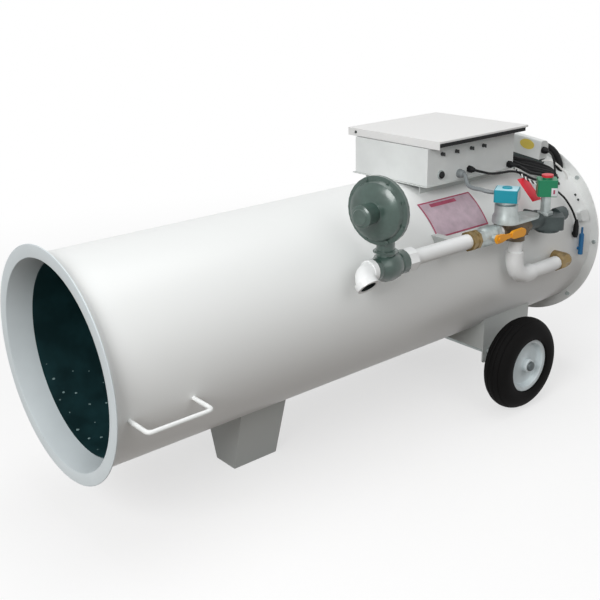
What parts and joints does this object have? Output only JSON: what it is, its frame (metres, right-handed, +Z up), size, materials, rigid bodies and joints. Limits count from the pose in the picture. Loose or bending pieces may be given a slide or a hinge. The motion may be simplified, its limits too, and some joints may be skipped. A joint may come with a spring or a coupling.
{
  "type": "forced air heater",
  "caption": "Portable direct-fired forced air heater: a long drum with flared outlet, gas train, lidded control box, wheels on an axle, front leg and carrying handles.",
  "frame": {"origin": "middle of the whole object's footprint, on the floor", "axes": "+X along the drum from the hot air outlet to the fan end, +Z up, -Y the side that carries the gas train"},
  "size_m": [2.0322, 0.872, 0.962],
  "materials": {
    "white_paint": "satin white enamel",
    "grey_paint": "satin grey enamel",
    "box_paint": "satin light grey enamel",
    "heated_steel": "heat-darkened steel",
    "dark_steel": "dark machined steel",
    "zinc_steel": "zinc-plated steel",
    "cable_rubber": "matt black",
    "tyre": "matt black",
    "black_plastic": "matt black",
    "cast_green": "grey-green enamelled casting",
    "cast_grey": "dark grey casting",
    "brass": "dull brass",
    "bronze": "dull bronze casting",
    "lever_paint": "yellow-orange dipped",
    "coil_blue": "moulded blue",
    "coil_green": "moulded green",
    "cap_red": "moulded red",
    "sensor_blue": "moulded blue",
    "grey_sheath": "grey sheathing",
    "white_sheath": "white sheathing"
  },
  "bodies": {
    "heater": {"outer_shell": "white_paint", "outlet_ring": "white_paint", "inlet_ring": "white_paint", "combustion_liner": "heated_steel", "burner_cone": "dark_steel", "burner_manifold": "dark_steel", "fan_motor": "dark_steel", "motor_cradle": "grey_paint", "inlet_guard": "zinc_steel", "front_leg": "grey_paint", "rear_bracket": "grey_paint", "axle": "zinc_steel", "near_hub_cap": "zinc_steel", "far_hub_cap": "zinc_steel", "near_handle": "white_paint", "far_handle": "white_paint", "control_box": "box_paint", "lid_hinge": "zinc_steel", "box_saddle": "grey_paint", "signal_cable": "cable_rubber", "power_cable": "cable_rubber", "conduit": "grey_sheath", "ignition_transformer": "box_paint", "transformer_base": "cast_grey", "igniter_lead": "cable_rubber", "flame_lead": "cable_rubber", "earth_lead": "white_sheath", "flame_sensor": "sensor_blue", "service_cover": "box_paint", "inlet_elbow": "white_paint", "regulator_body": "cast_green", "diaphragm_cover": "cast_green", "spring_cap": "cast_green", "supply_pipe": "white_paint", "brass_union": "brass", "ball_valve": "zinc_steel", "link_pipe": "white_paint", "pipe_support": "grey_paint", "main_valve": "bronze", "main_valve_bonnet": "zinc_steel", "blue_coil": "coil_blue", "second_valve": "cast_grey", "second_valve_stem": "zinc_steel", "green_coil": "coil_green", "coil_cap": "cap_red", "burner_pipe": "white_paint", "brass_elbow": "brass"},
    "near_wheel": {"near_tyre": "tyre", "near_rim": "zinc_steel"},
    "far_wheel": {"far_tyre": "tyre", "far_rim": "zinc_steel"},
    "fan_rotor": {"fan": "dark_steel"},
    "lid": {"box_lid": "white_paint", "lid_seal": "cable_rubber"},
    "lever": {"valve_lever": "lever_paint"},
    "button": {"reset_button": "black_plastic"},
    "knob_1": {"switch_1": "black_plastic"},
    "knob_2": {"switch_2": "black_plastic"},
    "knob_3": {"switch_3": "black_plastic"},
    "knob_4": {"switch_4": "black_plastic"}
  },
  "joints": [
    {"name": "near_wheel_spin", "type": "hinge", "parent": "heater", "child": "near_wheel", "pos_m": [0.53825, -0.35108, 0.1659], "axis": [0, 1, 0], "continuous": true},
    {"name": "far_wheel_spin", "type": "hinge", "parent": "heater", "child": "far_wheel", "pos_m": [0.53825, 0.37952, 0.1659], "axis": [0, 1, 0], "continuous": true},
    {"name": "fan_spin", "type": "hinge", "parent": "heater", "child": "fan_rotor", "pos_m": [0.94185, 0.01422, 0.503], "axis": [1, 0, 0], "continuous": true},
    {"name": "lid_hinge", "type": "hinge", "parent": "heater", "child": "lid", "pos_m": [0.47385, 0.18922, 0.939], "axis": [-1, 0, 0], "range_deg": [0, 90]},
    {"name": "gas_lever", "type": "hinge", "parent": "heater", "child": "lever", "pos_m": [0.33685, -0.38578, 0.666], "axis": [0, 1, 0], "range_deg": [0, 90]},
    {"name": "button_press", "type": "slide", "parent": "heater", "child": "button", "axis": [0, 1, 0], "range_m": [0, 0.003], "stiffness_N_per_m": 300},
    {"name": "knob_1_turn", "type": "hinge", "parent": "heater", "child": "knob_1", "pos_m": [0.31585, -0.16278, 0.91], "axis": [0, 1, 0], "range_deg": [-45, 45]},
    {"name": "knob_2_turn", "type": "hinge", "parent": "heater", "child": "knob_2", "pos_m": [0.38485, -0.16278, 0.91], "axis": [0, 1, 0], "range_deg": [-45, 45]},
    {"name": "knob_3_turn", "type": "hinge", "parent": "heater", "child": "knob_3", "pos_m": [0.45985, -0.16278, 0.91], "axis": [0, 1, 0], "range_deg": [-45, 45]},
    {"name": "knob_4_turn", "type": "hinge", "parent": "heater", "child": "knob_4", "pos_m": [0.52285, -0.16278, 0.91], "axis": [0, 1, 0], "range_deg": [-45, 45]}
  ]
}
